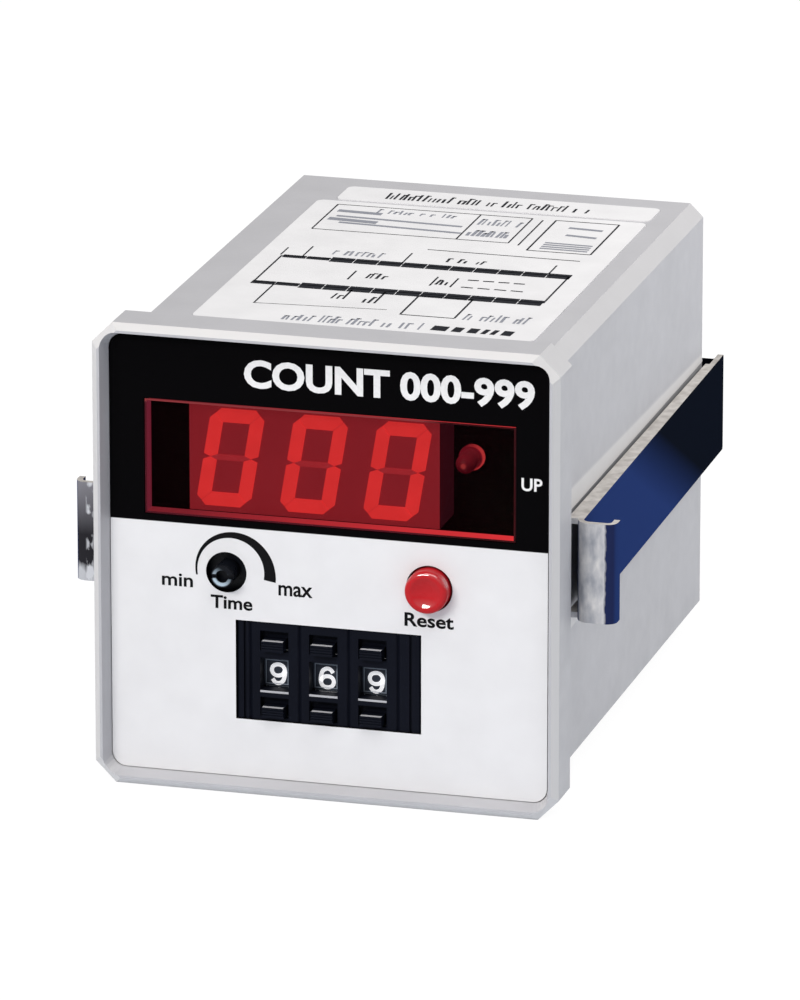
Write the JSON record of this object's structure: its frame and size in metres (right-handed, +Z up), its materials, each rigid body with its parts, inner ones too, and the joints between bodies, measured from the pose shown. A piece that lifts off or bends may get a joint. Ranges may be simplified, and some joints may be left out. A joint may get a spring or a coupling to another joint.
{
  "type": "panel counter",
  "caption": "Square panel-mount preset counter with a red digit display, reset button, time trimmer, pushwheel preset switch, steel side clips and rear screw terminals.",
  "frame": {"origin": "centre of the panel cut-out, on the rear face of the bezel", "axes": "+X to the right seen from the front, +Y rearwards through the panel, +Z up"},
  "size_m": [0.084, 0.1053, 0.072],
  "materials": {
    "housing_grey": "fine satin moulding",
    "fascia_print": "printed film, black above and white below",
    "window_red": "clear red filter",
    "display_body": "dark moulded display body",
    "segment_lit": "lit segment",
    "segment_dim": "unlit segment",
    "lamp_red": "tinted lamp epoxy",
    "button_red": "smooth moulding",
    "shaft_black": "satin moulding",
    "switch_black": "glossy moulding",
    "wheel_black": "matte moulding with printed numerals",
    "trimmer_blue": "moulded",
    "board_green": "solder mask",
    "core_steel": "varnished laminations",
    "coil_winding": "taped copper winding",
    "relay_blue": "moulded cover",
    "capacitor_dark": "sleeved can",
    "chip_black": "moulded package",
    "ribbon_grey": "flat cable",
    "cover_black": "fine satin moulding",
    "strip_black": "moulded barrier strip",
    "zinc_steel": "zinc plated",
    "clip_steel": "bright plated spring steel",
    "label_white": "printed sticker"
  },
  "bodies": {
    "case": {"housing": "housing_grey", "fascia_plate": "fascia_print", "display_window": "window_red", "display_module": "display_body", "digit_segments": "segment_lit", "middle_segments": "segment_dim", "up_led": "lamp_red", "reset_switch": "chip_black", "time_trimmer": "trimmer_blue", "pushwheel_frame_1": "switch_black", "pushwheel_frame_2": "switch_black", "pushwheel_frame_3": "switch_black", "pushwheel_end_left": "switch_black", "pushwheel_end_right": "switch_black", "contact_boards": "board_green", "display_board": "board_green", "board_screws": "zinc_steel", "main_board": "board_green", "transformer_core": "core_steel", "transformer_coil": "coil_winding", "relay": "relay_blue", "capacitors": "capacitor_dark", "counter_chip": "chip_black", "ribbon_cable": "ribbon_grey", "rear_board": "board_green", "rear_cover": "cover_black", "cover_screws": "zinc_steel", "terminal_strip_upper": "strip_black", "terminal_strip_lower": "strip_black", "terminal_plates": "zinc_steel", "terminal_screws": "zinc_steel", "top_label": "label_white", "strip_label": "label_white"},
    "reset_button": {"reset_button": "button_red", "reset_plunger": "shaft_black"},
    "time_knob": {"time_knob": "shaft_black"},
    "clip_left": {"clip_left": "clip_steel"},
    "clip_right": {"clip_right": "clip_steel"},
    "wheel_1": {"digit_wheel_1": "wheel_black"},
    "plus_key_1": {"plus_key_1": "switch_black"},
    "minus_key_1": {"minus_key_1": "switch_black"},
    "wheel_2": {"digit_wheel_2": "wheel_black"},
    "plus_key_2": {"plus_key_2": "switch_black"},
    "minus_key_2": {"minus_key_2": "switch_black"},
    "wheel_3": {"digit_wheel_3": "wheel_black"},
    "plus_key_3": {"plus_key_3": "switch_black"},
    "minus_key_3": {"minus_key_3": "switch_black"}
  },
  "joints": [
    {"name": "reset_push", "type": "slide", "parent": "case", "child": "reset_button", "axis": [0, 1, 0], "range_m": [0, 0.001], "stiffness_N_per_m": 1200, "springref_m": -0.0005},
    {"name": "time_turn", "type": "hinge", "parent": "case", "child": "time_knob", "pos_m": [-0.0158, -0.0051, -0.00195], "axis": [0, 1, 0], "range_deg": [-140, 140]},
    {"name": "wheel_1_turn", "type": "hinge", "parent": "case", "child": "wheel_1", "pos_m": [-0.00888, 0.0042, -0.0179], "axis": [1, 0, 0], "continuous": true},
    {"name": "wheel_2_turn", "type": "hinge", "parent": "case", "child": "wheel_2", "pos_m": [-0.00126, 0.0042, -0.0179], "axis": [1, 0, 0], "continuous": true},
    {"name": "wheel_3_turn", "type": "hinge", "parent": "case", "child": "wheel_3", "pos_m": [0.00636, 0.0042, -0.0179], "axis": [1, 0, 0], "continuous": true},
    {"name": "plus_1_push", "type": "slide", "parent": "case", "child": "plus_key_1", "axis": [0, 1, 0], "range_m": [0, 0.0012], "stiffness_N_per_m": 1000, "springref_m": -0.0005},
    {"name": "plus_2_push", "type": "slide", "parent": "case", "child": "plus_key_2", "axis": [0, 1, 0], "range_m": [0, 0.0012], "stiffness_N_per_m": 1000, "springref_m": -0.0005},
    {"name": "plus_3_push", "type": "slide", "parent": "case", "child": "plus_key_3", "axis": [0, 1, 0], "range_m": [0, 0.0012], "stiffness_N_per_m": 1000, "springref_m": -0.0005},
    {"name": "minus_1_push", "type": "slide", "parent": "case", "child": "minus_key_1", "axis": [0, 1, 0], "range_m": [0, 0.0012], "stiffness_N_per_m": 1000, "springref_m": -0.0005},
    {"name": "minus_2_push", "type": "slide", "parent": "case", "child": "minus_key_2", "axis": [0, 1, 0], "range_m": [0, 0.0012], "stiffness_N_per_m": 1000, "springref_m": -0.0005},
    {"name": "minus_3_push", "type": "slide", "parent": "case", "child": "minus_key_3", "axis": [0, 1, 0], "range_m": [0, 0.0012], "stiffness_N_per_m": 1000, "springref_m": -0.0005},
    {"name": "left_clip_slide", "type": "slide", "parent": "case", "child": "clip_left", "axis": [0, 1, 0], "range_m": [-0.0026, 0.018]},
    {"name": "right_clip_slide", "type": "slide", "parent": "case", "child": "clip_right", "axis": [0, 1, 0], "range_m": [-0.0026, 0.018]}
  ]
}
